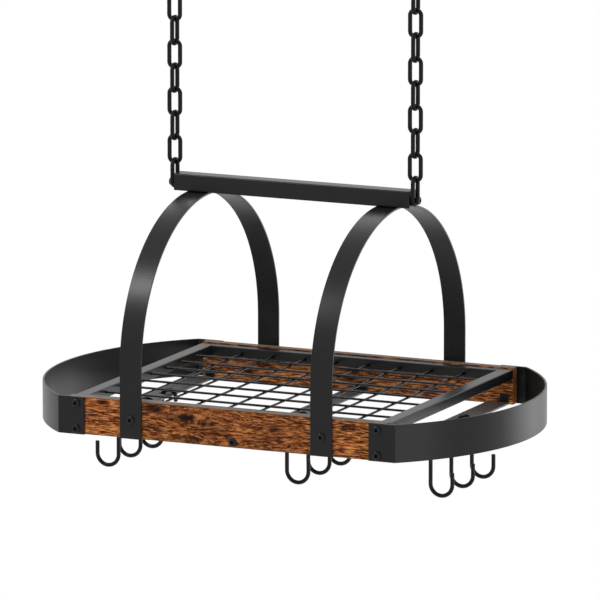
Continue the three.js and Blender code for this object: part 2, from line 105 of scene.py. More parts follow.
def add_loft(bm, rings, closed=False):
    """Quads between rings of points, closed on itself or with a face at each end."""
    rows = [[bm.verts.new(p) for p in ring] for ring in rings]
    count = len(rows[0])
    for i in range(len(rows) if closed else len(rows) - 1):
        a, b = rows[i], rows[(i + 1) % len(rows)]
        for j in range(count):
            k = (j + 1) % count
            bm.faces.new((a[j], a[k], b[k], b[j]))
    if not closed:
        bm.faces.new(rows[0][::-1])
        bm.faces.new(rows[-1])


def tangents(path, closed):
    """Unit directions along a path, each from the point before to the point after."""
    n = len(path)
    out = []
    for i in range(n):
        before = path[(i - 1) % n] if closed or i else path[0]
        after = path[(i + 1) % n] if closed or i < n - 1 else path[-1]
        out.append((after - before).normalized())
    return out


def add_wire(bm, path, radius, plane, closed=False, sides=16, swell=None, dome=0.0, share_z=1.0):
    """Wire along a path in a plane with the given normal; share_z flattens it along Z."""
    path = [Vector(p) for p in path]
    if dome:  # rounded ends, within the length of the path
        for end in (0, -1):
            tip, way = path[end], (path[1] - path[0] if end == 0 else path[-2] - path[-1]).normalized()
            near = [tip + way * dome * radius * (1 - math.cos(math.pi / 2 * k / DOME_STEPS))
                    for k in range(DOME_STEPS + 1)]
            path = near + path[1:] if end == 0 else path[:-1] + near[::-1]
    count = len(path)
    ways = tangents(path, closed)
    rings = []
    for i, (p, way) in enumerate(zip(path, ways)):
        side = way.cross(plane).normalized()
        side.z *= share_z
        r = radius * (swell(i / count) if swell else 1)
        if dome:
            k = min(i, count - 1 - i)
            if k <= DOME_STEPS:
                r *= max(DOME_TIP, math.sin(math.pi / 2 * k / DOME_STEPS))
        rings.append([p + side * r * math.cos(a) + plane * r * math.sin(a)
                      for a in (2 * math.pi * j / sides for j in range(sides))])
    add_loft(bm, rings, closed)


def rounded_section(width, height, corner, steps=3):
    """(u, v) points round a rectangle with rounded corners."""
    points = []
    for cu, cv, start in ((1, 1, 0), (-1, 1, 90), (-1, -1, 180), (1, -1, 270)):
        for k in range(steps + 1):
            a = math.radians(start + 90 * k / steps)
            points.append((cu * (width / 2 - corner) + corner * math.cos(a),
                           cv * (height / 2 - corner) + corner * math.sin(a)))
    return points


def add_strip(bm, path, across, width, thickness, corner):
    """A flat bar along a planar path; across is the direction of its width."""
    ways = tangents(path, False)
    section = rounded_section(width, thickness, corner)
    rings = []
    for i, (p, way) in enumerate(zip(path, ways)):
        out = across.cross(way).normalized()
        stretch = 1.0
        if 0 < i < len(path) - 1:  # keeps the thickness through a bend
            turn = (path[i] - path[i - 1]).angle(path[i + 1] - path[i])
            stretch = 1 / math.cos(turn / 2)
        rings.append([p + across * u + out * v * stretch for u, v in section])
    add_loft(bm, rings)


def fillet(before, corner, after, radius, steps=6):
    """Points of a rounded corner between two straight runs."""
    a, b = (before - corner).normalized(), (after - corner).normalized()
    angle = a.angle(b)
    reach = radius / math.tan(angle / 2)
    centre = corner + (a + b).normalized() * radius / math.sin(angle / 2)
    start, end = corner + a * reach - centre, corner + b * reach - centre
    turn = start.angle(end)
    out = []
    for k in range(steps + 1):
        t = k / steps
        out.append(centre + (start * math.sin((1 - t) * turn) + end * math.sin(t * turn)) / math.sin(turn))
    return out


def add_lathe(bm, profile, origin, axis, sides=32):
    """A turned solid. A profile entry is (radius, height) or (flats / 2, height, "hex")."""
    axis = axis.normalized()
    u = axis.orthogonal().normalized()
    v = axis.cross(u)
    rings = []
    for entry in profile:
        r, h = entry[:2]
        ring = []
        for j in range(sides):
            a = 2 * math.pi * j / sides
            reach = r
            if len(entry) > 2:
                reach = r / math.cos(a % (math.pi / 3) - math.pi / 6)
            ring.append(origin + axis * h + (u * math.cos(a) + v * math.sin(a)) * reach)
        rings.append(ring)
    add_loft(bm, rings)


def finish_piece(name, bm, nodes, slot, offset, turn=0.0, material=None, sharp=SHARP_ANGLE, weighted=True):
    """Makes the object, in metres, at its place in the row frame, on the body of its first node."""
    bmesh.ops.recalc_face_normals(bm, faces=bm.faces)
    place = Matrix.Translation(Vector(offset) * MM) @ Matrix.Rotation(turn, 4, "Z") @ Matrix.Scale(MM, 4)
    bm.transform(place)
    mesh = bpy.data.meshes.new(name)
    bm.to_mesh(mesh)
    bm.free()
    mesh.shade_smooth()
    mesh.set_sharp_from_angle(angle=math.radians(sharp))
    piece = bpy.data.objects.new(name, mesh)
    bpy.context.scene.collection.objects.link(piece)
    if weighted:
        modifier = piece.modifiers.new("even_flats", "WEIGHTED_NORMAL")
        modifier.keep_sharp = True
        modifier.weight = 100
    mesh.materials.append(material or MATERIAL[slot])
    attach(piece, BODY_OF[nodes[0]])
    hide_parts(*nodes)
    return piece


def arc_points(cu, cv, radius, start, end, steps):
    """(u, v) points of an arc, angles in degrees."""
    return [(cu + radius * math.cos(math.radians(start + (end - start) * k / steps)),
             cv + radius * math.sin(math.radians(start + (end - start) * k / steps)))
            for k in range(steps + 1)]


def thread_profile(radius, depth, start, pitch, turns, root_from, root_to, crest_from):
    """(radius, height) entries of a thread. The last three are measured along each turn, from its start."""
    out = []
    for k in range(turns):
        h = start + k * pitch
        out += [(radius, h), (radius - depth, h + root_from), (radius - depth, h + root_to),
                (radius, h + crest_from)]
    return out


def smoothed(points, rounds):
    """Corner cutting that keeps both ends."""
    for _ in range(rounds):
        cut = [points[0]]
        for a, b in zip(points, points[1:]):
            cut += [a.lerp(b, 0.25), a.lerp(b, 0.75)]
        points = cut + [points[-1]]
    return points


# ---- Materials ----

# Noise is taken away from its own lattice planes, which would show as lines at x, y or z = 0.
OFF_LATTICE = (3.137, 5.291, 7.473)


class Nodes:
    """Short-hand for building a node tree."""

    def __init__(self, name):
        self.material = bpy.data.materials.new(name)
        self.material.use_nodes = True
        self.tree = self.material.node_tree
        self.tree.nodes.clear()
        self.output = self.add("ShaderNodeOutputMaterial")
        self.shader = self.add("ShaderNodeBsdfPrincipled")
        self.link(self.shader.outputs[0], self.output.inputs["Surface"])
        self.place = self.add("ShaderNodeTexCoord").outputs["Object"]
        self.spot = self.vector("ADD", self.place, OFF_LATTICE)

    def add(self, kind, **settings):
        node = self.tree.nodes.new(kind)
        for key, value in settings.items():
            setattr(node, key, value)
        return node

    def link(self, output, socket):
        self.tree.links.new(output, socket)

    def put(self, socket, value):
        if isinstance(value, bpy.types.NodeSocket):
            self.link(value, socket)
        else:
            socket.default_value = value

    def math(self, operation, a, b=0.0, c=None):
        node = self.add("ShaderNodeMath", operation=operation)
        self.put(node.inputs[0], a)
        self.put(node.inputs[1], b)
        if c is not None:
            self.put(node.inputs[2], c)
        return node.outputs[0]

    def vector(self, operation, a, b):
        node = self.add("ShaderNodeVectorMath", operation=operation)
        self.put(node.inputs[0], a)
        self.put(node.inputs[1], b)
        return node.outputs["Vector"]

    def noise(self, where, scale, detail, roughness, distortion=0.0):
        node = self.add("ShaderNodeTexNoise")
        self.put(node.inputs["Vector"], where)
        node.inputs["Scale"].default_value = scale
        node.inputs["Detail"].default_value = detail
        node.inputs["Roughness"].default_value = roughness
        node.inputs["Distortion"].default_value = distortion
        return node.outputs["Fac"]

    def stretched(self, where, scales, detail, roughness, distortion=0.0):
        """Noise with a scale of its own along X, Y and Z, each per metre."""
        return self.noise(self.vector("MULTIPLY", where, scales), 1.0, detail, roughness, distortion)

    def span(self, value, low, high, to_low=0.0, to_high=1.0):
        """A smooth step from to_low to to_high as the value goes from low to high."""
        node = self.add("ShaderNodeMapRange", interpolation_type="SMOOTHSTEP")
        self.put(node.inputs["Value"], value)
        node.inputs["From Min"].default_value = low
        node.inputs["From Max"].default_value = high
        node.inputs["To Min"].default_value = to_low
        node.inputs["To Max"].default_value = to_high
        return node.outputs[0]

    def ramp(self, value, stops):
        node = self.add("ShaderNodeValToRGB")
        self.put(node.inputs[0], value)
        ramp = node.color_ramp
        while len(ramp.elements) < len(stops):
            ramp.elements.new(0.5)
        for element, (position, colour) in zip(ramp.elements, stops):
            element.position = position
            element.color = (*colour, 1)
        return node.outputs[0]

    def mix(self, factor, a, b):
        node = self.add("ShaderNodeMix", data_type="RGBA")
        self.put(node.inputs["Factor"], factor)
        for socket, value in ((node.inputs[6], a), (node.inputs[7], b)):
            self.put(socket, (*value, 1) if isinstance(value, tuple) else value)
        return node.outputs[2]

    def tint(self, tone, colour, share, value, low, high):
        """The tone, taken up to that share of the way to a colour as the value goes from low to high."""
        return self.mix(self.span(value, low, high, 0, share), tone, colour)

    def bump(self, height, strength, distance, normal=None):
        node = self.add("ShaderNodeBump")
        self.put(node.inputs["Height"], height)
        node.inputs["Strength"].default_value = strength
        node.inputs["Distance"].default_value = distance
        if normal is not None:
            self.link(normal, node.inputs["Normal"])
        return node.outputs[0]


def powder_coat(name, base, worn, roughness, specular):
    """Satin black coat: orange-peel texture, cloudy tone, small scuffs and rubbed spots."""
    n = Nodes(name)
    peel = n.noise(n.spot, 1400, 3, 0.6)
    cloud = n.noise(n.spot, 35, 5, 0.6)
    speck = n.noise(n.spot, 5200, 2, 0.5)
    scuff = n.stretched(n.spot, (90, 90, 700), 5, 0.65, 0.8)
    tone = n.ramp(cloud, [(0.3, base), (0.7, tuple(1.5 * c for c in base))])
    tone = n.tint(tone, worn, 0.35, speck, 0.62, 0.75)
    rubbed = n.math("MULTIPLY", n.span(scuff, 0.64, 0.74), n.span(cloud, 0.48, 0.60))
    tone = n.mix(n.math("MULTIPLY", rubbed, 0.5), tone, worn)
    n.put(n.shader.inputs["Base Color"], tone)
    rough = n.math("ADD", roughness - 0.03, n.math("MULTIPLY", cloud, 0.06))
    n.put(n.shader.inputs["Roughness"], n.math("SUBTRACT", rough, n.math("MULTIPLY", rubbed, 0.06)))
    n.shader.inputs["Specular IOR Level"].default_value = specular
    n.link(n.bump(peel, 0.2, 0.0001, n.bump(cloud, 0.06, 0.0003)), n.shader.inputs["Normal"])
    return n.material


# Knots of the boards: place along X and Z, in millimetres from the rack's origin, half sizes, darkness
FRONT_KNOTS = (
    (-78, 36, 26, 7, 0.45), (-28, 24, 34, 16, 0.34), (62, 15, 42, 9, 0.30), (-118, 22, 20, 9, 0.25),
    (-199, 50, 7, 2.6, 0.8), (-114, 47, 12, 5, 1.0), (-66, 38, 15, 4, 1.0), (-34, 31, 14, 2.6, 0.8),
    (75, 31, 8, 4, 0.9), (-52, 6, 9, 5, 0.55), (185, 44, 7, 4, 0.75), (28, 12, 6, 3, 0.6),
    (-150, 14, 8, 2.5, 0.5), (132, 14, 10, 3, 0.6),
)
BACK_KNOTS = (
    (-180, 16, 10, 4, 0.8), (-96, 40, 8, 4, 0.9), (-12, 20, 13, 4, 0.9), (66, 42, 7, 3, 0.7),
    (118, 12, 10, 5, 0.9), (212, 34, 9, 4, 0.9), (160, 44, 5, 3, 0.6),
)


# Noise value and colour, from the dark grain to the pale
WOOD_TONES = [
    (0.30, (0.250, 0.057, 0.014)), (0.42, (0.375, 0.091, 0.021)), (0.50, (0.490, 0.124, 0.028)),
    (0.58, (0.595, 0.166, 0.038)), (0.72, (0.720, 0.234, 0.061)),
]
PALE_PATCH, DARK_PATCH = (0.640, 0.240, 0.062), (0.085, 0.020, 0.009)
PALE_LINE, DARK_LINE = (0.800, 0.300, 0.084), (0.060, 0.015, 0.005)
PALE_GRAIN, DARK_GRAIN = (0.920, 0.420, 0.145), (0.030, 0.007, 0.003)
MIDDLE_STAIN, FIBRE_TONE, CRACK_TONE = (0.090, 0.022, 0.009), (0.060, 0.020, 0.008), (0.010, 0.004, 0.003)
KNOT_HALO, KNOT_CORE = (0.048, 0.013, 0.008), (0.011, 0.006, 0.005)
WORN_RIM = (0.030, 0.011, 0.006)
# Painted reflection: these pale greys on the narrow up- and down-facing faces stand for the sheen of the
# bright surroundings.
SHEEN_DARK, SHEEN_PALE = (0.15, 0.105, 0.078), (0.27, 0.20, 0.15)
END_DARK, END_PALE = (0.11, 0.036, 0.013), (0.36, 0.150, 0.050)
KNOT_LIFT, GRAIN_WAVE = 0.42, 0.007  # grain pushed off by a knot, as a share of its height; waves in metres


def rustic_wood(name):
    """Reclaimed-look board: wavy grain that bends round knots, sharp dark lines, pale and dark patches."""
    n = Nodes(name)
    axes = n.add("ShaderNodeSeparateXYZ")
    n.link(n.place, axes.inputs[0])
    x, y, z = axes.outputs
    local_z = n.math("ADD", z, -RACK_Z * MM)
    warp = n.math("SUBTRACT", n.noise(n.spot, 22, 3, 0.5), 0.5)
    ragged = n.math("SUBTRACT", n.stretched(n.spot, (90, 160, 260), 4, 0.65), 0.5)
    knot_field = 0.0
    halo = 0.0
    lift = 0.0
    for knots, face in ((FRONT_KNOTS, -1), (BACK_KNOTS, 1)):
        near = n.math("LESS_THAN", n.math("MULTIPLY", y, -face), 0.0)
        for kx, kz, rx, rz, depth in knots:
            dx = n.math("MULTIPLY", n.math("ADD", x, -kx * MM), 1 / (rx * MM))
            dz = n.math("MULTIPLY", n.math("ADD", local_z, -kz * MM), 1 / (rz * MM))
            distance = n.math("SQRT", n.math("MULTIPLY_ADD", dx, dx, n.math("MULTIPLY", dz, dz)))
            distance = n.math("MULTIPLY_ADD", ragged, 1.5, n.math("MULTIPLY_ADD", warp, 1.4, distance))
            spot = n.math("MULTIPLY", n.span(distance, 1.35, 0.45, 0, depth), near)
            knot_field = n.math("MAXIMUM", knot_field, spot)
            round_it = n.math("MULTIPLY", n.span(distance, 2.6, 1.0, 0, depth), near)
            halo = n.math("MAXIMUM", halo, round_it)
            push = n.math("MULTIPLY", n.math("MULTIPLY", dz, n.span(distance, 3.4, 0.4)), near)
            lift = n.math("MULTIPLY_ADD", push, KNOT_LIFT * rz * MM, lift)
    grain_z = n.math("MULTIPLY_ADD", warp, GRAIN_WAVE, n.math("SUBTRACT", local_z, lift))
    grain = n.add("ShaderNodeCombineXYZ")
    n.link(x, grain.inputs[0])
    n.link(y, grain.inputs[1])
    n.link(grain_z, grain.inputs[2])
    grain = n.vector("ADD", grain.outputs[0], OFF_LATTICE)
    bands = n.stretched(grain, (8, 60, 66), 5, 0.6, 0.5)
    lines = n.stretched(grain, (21, 170, 380), 4, 0.62, 0.12)
    fine = n.stretched(grain, (62, 420, 620), 3, 0.62, 0.1)
    fibre = n.stretched(grain, (150, 1500, 2200), 3, 0.6)
    patches = n.stretched(n.spot, (15, 30, 34), 4, 0.6, 0.5)
    pale = n.stretched(n.spot, (19, 37, 44), 3, 0.6, 0.6)
    cracks = n.stretched(grain, (20, 130, 150), 3, 0.5, 0.9)

    tone = n.ramp(bands, WOOD_TONES)
    tone = n.tint(tone, PALE_PATCH, 0.50, pale, 0.52, 0.66)
    tone = n.tint(tone, DARK_PATCH, 0.64, patches, 0.50, 0.66)
    tone = n.tint(tone, DARK_LINE, 0.66, lines, 0.50, 0.60)
    tone = n.tint(tone, PALE_LINE, 0.50, lines, 0.48, 0.38)
    tone = n.tint(tone, DARK_GRAIN, 0.88, fine, 0.51, 0.56)
    tone = n.tint(tone, PALE_GRAIN, 0.82, fine, 0.48, 0.39)
    tone = n.tint(tone, MIDDLE_STAIN, 0.24, n.math("ABSOLUTE", x), 0.19, 0.09)
    crack = n.span(n.math("ABSOLUTE", n.math("SUBTRACT", cracks, 0.56)), 0.010, 0.003)
    tone = n.mix(n.math("MULTIPLY", crack, 0.9), tone, CRACK_TONE)
    tone = n.tint(tone, FIBRE_TONE, 0.30, fibre, 0.35, 0.7)
    tone = n.mix(n.math("MULTIPLY", halo, 0.55), tone, KNOT_HALO)
    knot_core = n.math("MULTIPLY", knot_field, n.span(fine, 0.25, 0.6, 0.7, 1.0))
    tone = n.mix(knot_core, tone, KNOT_CORE)

    # The long edges are darker, the narrow faces up and down get a pale grey that is a painted reflection of
    # the bright surroundings, and the cut ends show rings.
    from_middle = n.math("ABSOLUTE", n.math("ADD", local_z, -BOARD_HEIGHT / 2 * MM))
    rim = n.math("MULTIPLY_ADD", n.math("SUBTRACT", patches, 0.5), 0.006, from_middle)
    tone = n.tint(tone, WORN_RIM, 0.55, rim, 0.0245, 0.0277)
    facing = n.add("ShaderNodeSeparateXYZ")
    n.link(n.add("ShaderNodeTexCoord").outputs["Normal"], facing.inputs[0])
    sheen_faces = n.span(n.math("ABSOLUTE", facing.outputs[2]), 0.6, 0.9)
    sheen_tone = n.mix(n.span(lines, 0.35, 0.65), SHEEN_DARK, SHEEN_PALE)
    # painted reflection: the up- and down-facing faces take the pale grey
    tone = n.mix(n.math("MULTIPLY", sheen_faces, 0.95), tone, sheen_tone)
    cross = n.span(n.math("ABSOLUTE", facing.outputs[0]), 0.6, 0.9)
    rings = n.stretched(n.spot, (20, 420, 200), 4, 0.6, 0.8)
    tone = n.mix(cross, tone, n.mix(n.span(rings, 0.38, 0.62), END_DARK, END_PALE))
    n.put(n.shader.inputs["Base Color"], tone)
    n.put(n.shader.inputs["Roughness"], n.math("MULTIPLY_ADD", lines, 0.25, 0.42))
    n.shader.inputs["Specular IOR Level"].default_value = 0.05
    height = n.math("SUBTRACT", n.math("MULTIPLY_ADD", fine, 0.6, bands), crack)
    height = n.math("SUBTRACT", height, n.math("MULTIPLY", knot_field, 0.5))
    n.link(n.bump(height, 0.5, 0.0005), n.shader.inputs["Normal"])
    return n.material


def recess_shade_material(name):
    """Painted shade for the drive recess of a screw: near black, with a little noise in its tone."""
    n = Nodes(name)
    shade_noise = n.noise(n.spot, 2600, 3, 0.6)
    tone = n.ramp(shade_noise, [(0.35, (0.0012, 0.0012, 0.0014)), (0.75, (0.006, 0.005, 0.005))])
    n.put(n.shader.inputs["Base Color"], tone)
    n.shader.inputs["Roughness"].default_value = 0.9
    n.shader.inputs["Specular IOR Level"].default_value = 0.02
    n.link(n.bump(shade_noise, 0.3, 0.0002), n.shader.inputs["Normal"])
    return n.material


# Each coat: its name, base colour, colour where worn, roughness and specular level
STEEL = powder_coat("black_powder_coat", (0.0048, 0.0049, 0.0052), (0.032, 0.032, 0.033), 0.345, 0.24)
MATERIAL = {"black_steel": STEEL, "rustic_wood": rustic_wood("rustic_wood_board")}
OXIDE = powder_coat("black_oxide_screw", (0.0040, 0.0046, 0.0052), (0.030, 0.032, 0.035), 0.30, 0.22)
CHAIN = powder_coat("black_chain_coat", (0.0052, 0.0053, 0.0056), (0.030, 0.030, 0.032), 0.36, 0.12)
WIRE = powder_coat("black_wire_coat", (0.0020, 0.0021, 0.0023), (0.018, 0.018, 0.020), 0.27, 0.17)
# Painted light: the crossbars have the same black coat as the rest; this lighter grey copy stands for the
# light falling on their tops.
CROSSBAR_LIT_COAT = powder_coat("crossbar_coat_painted_light", (0.0700, 0.0704, 0.0710), (0.120, 0.120, 0.122), 0.44, 0.50)
# Painted shade: screw and bolt recesses take this near-black material in place of the shade inside them.
SOCKET_SHADE = recess_shade_material("screw_socket_painted_shade")

# ---- Ceiling hooks ----

for side, sign in SIDES:
    bm = bmesh.new()
    bowl_z = -HOOK_DROP + HOOK_BOWL
    # the neck leaves the shank's line in shares of the bowl's radius, to the side and up
    neck = [Vector((0, 0, 0))] + [Vector((-HOOK_BOWL * u, 0, bowl_z + HOOK_BOWL * v))
                                  for u, v in ((0, 2.2), (0, 2), (0.3, 1.65), (0.78, 0.85))]
    bend = [Vector((u, 0, v)) for u, v in arc_points(0, bowl_z, HOOK_BOWL, 162, 374, 30)]
    path = smoothed(neck + bend[:2], 2) + bend[2:]
    add_wire(bm, path, HOOK_WIRE_UP / 2, Y, dome=0.8, sides=20)
    face, rim = COLLAR_FACE / 2, COLLAR / 2
    weld = [(3.2, -4.2), (3.9, -3.7), (4.6, -3.15)]
    cone = [(face - 0.6, -COLLAR_THICKNESS), (face, -2.85), (rim - 0.5, -0.75)]
    edge = [(rim, -0.4), (rim, -0.1), (rim - 0.1, 0), (0.2, 0)]
    add_lathe(bm, weld + cone + edge, Vector(), Z, 48)
    root, crest = LAG * 0.36, LAG * 0.5
    thread = [(root, -0.5)]
    for k in range(int((LAG_LENGTH - 1) / LAG_PITCH)):
        h = 0.8 + k * LAG_PITCH
        taper = min(1.0, (LAG_LENGTH - h) / LAG_POINT)
        thread += [(root * taper, h), (crest * taper, h + 0.55), (crest * taper, h + 0.75),
                   (root * taper, h + 1.5)]
    thread.append((0.05, LAG_LENGTH))
    add_lathe(bm, thread, Vector(), Z, 28)
    finish_piece(f"ceiling_hook_{side}_fine", bm, [f"ceiling_hook_{side}"], "black_steel",
                 (sign * CHAIN_X, 0, 0), 0 if sign > 0 else math.pi, material=CHAIN)

# ---- Chain links, each with its butt weld on one long side ----

bend_radius = (LINK_INNER_WIDTH + LINK_WIRE) / 2
bend_z = LINK_CROWN - bend_radius
bend_steps, half_side_steps = 20, 8
path = arc_points(0, bend_z, bend_radius, 0, 180, bend_steps)
path += [(-bend_radius, bend_z * (1 - k / half_side_steps)) for k in range(1, 2 * half_side_steps)]
path += arc_points(0, -bend_z, bend_radius, 180, 360, bend_steps)
path += [(bend_radius, -bend_z * (1 - k / half_side_steps)) for k in range(1, 2 * half_side_steps)]
link_path = [Vector((u, 0, v)) for u, v in path]
weld_at = (bend_steps + half_side_steps) / len(path)  # the middle of the first long side


def butt_weld(t):
    """Share of the wire's radius at t, a share of the way round the link: it dips a little at the weld."""
    return 1 - BUTT_WELD_DEPTH * math.exp(-((t - weld_at) * BUTT_WELD_SHARPNESS) ** 2)


for side, sign in SIDES:
    for i in range(LINK_COUNT):
        bm = bmesh.new()
        add_wire(bm, link_path, LINK_WIRE / 2, Y, closed=True, share_z=LINK_CROWN_WIRE / LINK_WIRE,
                 swell=butt_weld)
        from_bolt = LINK_COUNT - 1 - i
        turn = math.pi / 2 if from_bolt % 2 == 0 else 0
        finish_piece(f"chain_{side}_link_{i + 1}_fine", bm, [f"chain_{side}_link_{i + 1}"], "black_steel",
                     (sign * CHAIN_X, 0, FIRST_LINK_Z - i * LINK_PITCH), turn, material=CHAIN)

# ---- Top bar: square tube with rounded edges and welded end plates, bored for the bolts ----

section = rounded_section(BAR_SIZE, BAR_SIZE, 2.0, 5)


def bar_ring(x, inset):
    """The bar's section at x, made smaller by inset all round."""
    k = 1 - 2 * inset / BAR_SIZE
    return [Vector((x, u * k, BAR_MIDDLE + v * k)) for u, v in section]


def bore_ring(x, radius):
    """A circle round the bolt's axis, its points in line with those of the bar's section."""
    ring = []
    for u, v in section:
        a = math.atan2(v - (BOLT_HEIGHT - BAR_MIDDLE), u)
        ring.append(Vector((x, radius * math.cos(a), BOLT_HEIGHT + radius * math.sin(a))))
    return ring


bm = bmesh.new()
half = BAR_LENGTH / 2
bore = BOLT_SHANK / 2 + SEAT_GAP
one_end = [bore_ring(-half + 16, bore), bore_ring(-half + 0.3, bore), bore_ring(-half, bore + 0.3),
           bar_ring(-half, 0.7), bar_ring(-half + 0.2, 0.25), bar_ring(-half + 0.7, 0)]
plate_to = 2.8  # the end plate's weld is a groove up to here
one_end += [bar_ring(-half + x, inset) for x, inset in ((2.2, 0), (2.5, 0.3), (plate_to, 0))]
spans = [bar_ring(-half + plate_to + (BAR_LENGTH - 2 * plate_to) * k / 12, 0) for k in range(1, 12)]
other_end = [[Vector((-p.x, p.y, p.z)) for p in ring] for ring in reversed(one_end)]
add_loft(bm, one_end + spans + other_end)
finish_piece("top_bar_fine", bm, ["top_bar"], "black_steel", (0, 0, RACK_Z))

# ---- Link bolts ----


def darken_socket(piece, place, axis, floor, flats):
    """Gives the walls and floor of a drive recess the socket's painted-shade material; place is in the rack's
    mm.
    """
    piece.data.materials.append(SOCKET_SHADE)
    for face in piece.data.polygons:
        local = face.center / MM - Vector((0, 0, RACK_Z)) - place
        height = local.dot(axis)
        aside = (local - axis * height).length
        if height > floor - 0.1 and aside < flats / 2 * 1.2:
            face.material_index = 1


for side, sign in SIDES:
    bm = bmesh.new()
    head_from = LINK_SIDE_PLAY + LINK_WIRE + SEAT_GAP
    head_to = head_from + BOLT_HEAD_HEIGHT
    shank, head = BOLT_SHANK / 2, BOLT_HEAD / 2
    dome_from, flats = head_from + 2.2, BOLT_SOCKET / 2
    floor = head_to - BOLT_SOCKET_DEPTH
    profile = [(0.2, -BOLT_IN_BAR), (shank - 0.8, -BOLT_IN_BAR), (shank, -BOLT_IN_BAR + 0.8)]
    profile += thread_profile(shank, 0.5, -BOLT_IN_BAR + 1.4, BOLT_PITCH, 6, 0.4, 0.6, 1.0)
    profile += [(shank, head_from), (head - 0.3, head_from), (head, head_from + 0.3), (head, dome_from)]
    profile += [(head - 1.6 * (1 - math.cos(a)), dome_from + 2.0 * math.sin(a))
                for a in (math.pi / 2 * k / 6 for k in range(1, 7))]
    profile += [(flats + 0.35, head_to), (flats, head_to - 0.15, "hex"), (flats, floor + 0.2, "hex"),
                (0.2, floor)]
    add_lathe(bm, profile, Vector(), X, 48)
    piece = finish_piece(f"link_bolt_{side}_fine", bm, [f"link_bolt_{side}"], "black_steel",
                         (sign * BAR_LENGTH / 2, 0, RACK_Z + BOLT_HEIGHT), 0 if sign > 0 else math.pi,
                         material=CHAIN)
    darken_socket(piece, Vector((sign * BAR_LENGTH / 2, 0, BOLT_HEIGHT)), sign * X, floor, BOLT_SOCKET)

# ---- Arched straps ----

middle_y = HALF_DEPTH + SEAT_GAP + ARCH_THICKNESS / 2
rise = ARCH_RISE - ARCH_SPRING - ARCH_THICKNESS / 2
leg_steps, arch_steps = 8, 120
path = [Vector((0, -middle_y, ARCH_SPRING * k / leg_steps)) for k in range(leg_steps)]
path += [Vector((0, -middle_y * math.cos(a), ARCH_SPRING + rise * math.sin(a)))
         for a in (math.pi * k / arch_steps for k in range(arch_steps + 1))]
path += [Vector((0, middle_y, ARCH_SPRING * (1 - k / leg_steps))) for k in range(1, leg_steps + 1)]
for side, sign in SIDES:
    bm = bmesh.new()
    add_strip(bm, path, X, ARCH_WIDTH, ARCH_THICKNESS, ARCH_EDGE)
    finish_piece(f"arch_{side}_fine", bm, [f"arch_{side}"], "black_steel",
                 (sign * ARCH_SPACING / 2, 0, RACK_Z))

# ---- Side boards: worn, slightly uneven edges ----

for end, face in ENDS:
    section = rounded_section(BOARD_THICKNESS, BOARD_HEIGHT, BOARD_EDGE, 4)
    # more points along the faces, so that the wear can follow them
    dense = []
    for (u0, v0), (u1, v1) in zip(section, section[1:] + section[:1]):
        steps = max(1, int(math.hypot(u1 - u0, v1 - v0) / 4))
        dense += [(u0 + (u1 - u0) * k / steps, v0 + (v1 - v0) * k / steps) for k in range(steps)]
    rings = []
    for k in range(BOARD_STATIONS + 1):
        x = -BOARD_LENGTH / 2 + BOARD_LENGTH * k / BOARD_STATIONS
        ring = []
        for u, v in dense:
            near_face = max(0.0, abs(u) - (BOARD_THICKNESS / 2 - WORN_THICKNESS)) / WORN_THICKNESS
            near_edge = max(0.0, abs(v) - (BOARD_HEIGHT / 2 - WORN_HEIGHT)) / WORN_HEIGHT
            corner = near_face * near_edge
            worn = noise.noise(Vector((x * 0.045, v * 0.3, face * 7 + u))) * 0.5 + 0.5
            chip = max(0.0, noise.noise(Vector((x * 0.16 + 40, v, face * 11 + u))) - 0.25)
            inward = 0.08 + corner * (0.35 * worn + 1.3 * chip)
            length = math.hypot(u, v * 0.25)
            ring.append(Vector((x, u - u / length * inward * 0.5, v - (0.25 * v) / length * inward)))
        rings.append(ring)
    # the last half millimetre of each end is bevelled
    first, last = rings[0], rings[-1]
    rings[0] = [Vector((p.x, p.y * END_SHARE_Y, p.z * END_SHARE_Z)) for p in first]
    rings[-1] = [Vector((p.x, p.y * END_SHARE_Y, p.z * END_SHARE_Z)) for p in last]
    rings.insert(1, [Vector((p.x + END_BEVEL, p.y, p.z)) for p in first])
    rings.insert(-1, [Vector((p.x - END_BEVEL, p.y, p.z)) for p in last])
    bm = bmesh.new()
    add_loft(bm, rings)
    finish_piece(f"side_board_{end}_fine", bm, [f"side_board_{end}"], "rustic_wood",
                 (0, face * (HALF_DEPTH - BOARD_THICKNESS / 2), RACK_Z + BOARD_HEIGHT / 2))

# ---- Bowed end bands ----

tab_y = HALF_DEPTH + SEAT_GAP + BAND_THICKNESS / 2
outer_y = HALF_DEPTH + SEAT_GAP + BAND_THICKNESS
radius = (outer_y ** 2 + BAND_BOW ** 2) / (2 * BAND_BOW)
centre_x = BOARD_LENGTH / 2 + BAND_LEAD + BAND_BOW - radius
middle_radius = radius - BAND_THICKNESS / 2
sweep = math.asin(tab_y / middle_radius)
half_bow_steps, tab_steps = 60, 6
bow = [Vector((centre_x + middle_radius * math.cos(a), middle_radius * math.sin(a), 0))
       for a in (sweep * (k / half_bow_steps - 1) for k in range(2 * half_bow_steps + 1))]
tab_end = BOARD_LENGTH / 2 - BAND_TAB
low, high = Vector((tab_end, -tab_y, 0)), Vector((tab_end, tab_y, 0))
path = [low + (bow[0] - low) * k / tab_steps for k in range(tab_steps)]
path += fillet(low, bow[0], bow[1], BAND_FILLET) + bow[2:-2] + fillet(bow[-2], bow[-1], high, BAND_FILLET)
path += [bow[-1] + (high - bow[-1]) * k / tab_steps for k in range(1, tab_steps + 1)]
for side, sign in SIDES:
    bm = bmesh.new()
    add_strip(bm, [p + Z * BOARD_HEIGHT / 2 for p in path], Z, BOARD_HEIGHT, BAND_THICKNESS, BAND_EDGE)
    finish_piece(f"end_band_{side}_fine", bm, [f"end_band_{side}"], "black_steel",
                 (0, 0, RACK_Z), 0 if sign > 0 else math.pi)

# ---- Shelf frame: rectangular tube with rounded edges, mitred and ground at the corners ----

